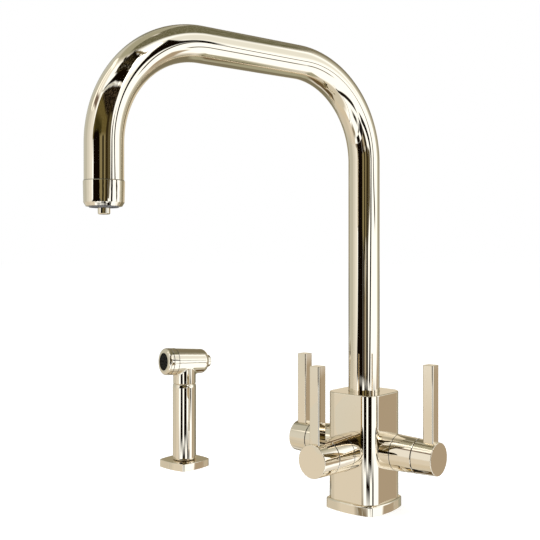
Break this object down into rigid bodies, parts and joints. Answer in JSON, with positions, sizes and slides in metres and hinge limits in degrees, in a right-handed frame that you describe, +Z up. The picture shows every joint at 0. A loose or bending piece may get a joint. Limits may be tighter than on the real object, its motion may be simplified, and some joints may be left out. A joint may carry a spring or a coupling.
{
  "type": "side spray kitchen faucet",
  "caption": "Kitchen mixer with a swivelling square-arch spout, lever valves on a square body for hot, cold and filtered water, and a separate push-button side spray in its holder.",
  "frame": {"origin": "centre of the body's foot, on the spout column's axis, at the surface of the deck", "axes": "+Z up along the spout column; the front valve looks along -Y; hot valve on -X, cold valve on +X; the side spray stands at -X"},
  "size_m": [0.2971, 0.2704, 0.4216],
  "materials": {
    "black_rubber": "black rubber",
    "brass": "bare machined brass",
    "ceramic": "ground ceramic",
    "copper_tube": "drawn steel tube, bright",
    "grey_plastic": "grey acetal",
    "nylon": "off-white nylon",
    "polished_nickel": "warm polished nickel, mirror bright",
    "spray_rubber": "very dark silicone rubber face",
    "zinc_steel": "zinc plated or stainless steel"
  },
  "bodies": {
    "faucet_body": {"base_plinth": "polished_nickel", "deck_seal": "black_rubber", "mixer_body": "polished_nickel", "mounting_shank": "brass", "rubber_washer": "black_rubber", "steel_washer": "zinc_steel", "lock_nut": "zinc_steel", "spray_diverter": "grey_plastic", "spout_retaining_screw": "zinc_steel", "valve_cartridges": "brass", "fixed_discs": "ceramic", "hot_collar": "polished_nickel", "hot_shroud": "polished_nickel", "cold_collar": "polished_nickel", "cold_shroud": "polished_nickel", "filter_collar": "polished_nickel", "filter_shroud": "polished_nickel", "spray_escutcheon": "polished_nickel", "spray_deck_seal": "black_rubber", "spray_holder_shank": "brass", "spray_holder_washer": "black_rubber", "spray_holder_nut": "zinc_steel"},
    "spout": {"spout_tube": "polished_nickel", "spout_tail": "brass", "spout_o_rings": "black_rubber", "spout_bushes": "nylon", "filter_tube": "copper_tube", "outlet_adapter": "brass", "aerator_housing": "polished_nickel", "aerator_insert": "grey_plastic", "aerator_washer": "black_rubber", "filter_nozzle": "polished_nickel"},
    "hot_handle": {"hot_moving_disc": "ceramic", "hot_spindle": "brass", "hot_hub": "polished_nickel", "hot_lever": "polished_nickel", "hot_hub_screw": "zinc_steel"},
    "cold_handle": {"cold_moving_disc": "ceramic", "cold_spindle": "brass", "cold_hub": "polished_nickel", "cold_lever": "polished_nickel", "cold_hub_screw": "zinc_steel"},
    "filter_handle": {"filter_moving_disc": "ceramic", "filter_spindle": "brass", "filter_hub": "polished_nickel", "filter_lever": "polished_nickel", "filter_hub_screw": "zinc_steel"},
    "spray_guide": {"spray_guide_bush": "nylon"},
    "spray": {"spray_handle": "polished_nickel", "spray_tail": "brass", "spray_head": "polished_nickel", "spray_band": "polished_nickel", "spray_face_collar": "polished_nickel", "spray_rose": "spray_rubber", "spray_valve": "brass", "button_bezel": "polished_nickel", "button_spring": "zinc_steel"},
    "spray_button": {"spray_button": "polished_nickel", "spray_stem": "zinc_steel"}
  },
  "joints": [
    {"name": "spout_swivel", "type": "hinge", "parent": "faucet_body", "child": "spout", "pos_m": [0, 0, 0.0641], "axis": [0, 0, 1], "continuous": true},
    {"name": "hot_turn", "type": "hinge", "parent": "faucet_body", "child": "hot_handle", "pos_m": [0, 0, 0.0485], "axis": [-1, 0, 0], "range_deg": [0, 90]},
    {"name": "cold_turn", "type": "hinge", "parent": "faucet_body", "child": "cold_handle", "pos_m": [0, 0, 0.0485], "axis": [1, 0, 0], "range_deg": [0, 90]},
    {"name": "filter_turn", "type": "hinge", "parent": "faucet_body", "child": "filter_handle", "pos_m": [0, 0, 0.0485], "axis": [0, -1, 0], "range_deg": [0, 90]},
    {"name": "spray_swivel", "type": "hinge", "parent": "faucet_body", "child": "spray_guide", "pos_m": [-0.208, -0.0053, 0], "axis": [0, 0, 1], "continuous": true},
    {"name": "spray_lift", "type": "slide", "parent": "spray_guide", "child": "spray", "axis": [0, 0, 1], "range_m": [0, 0.1]},
    {"name": "spray_press", "type": "slide", "parent": "spray", "child": "spray_button", "axis": [-0.2416, -0.969, 0.0523], "range_m": [0, 0.003], "stiffness_N_per_m": 1500, "springref_m": -0.003, "deforming": ["button_spring"]}
  ]
}
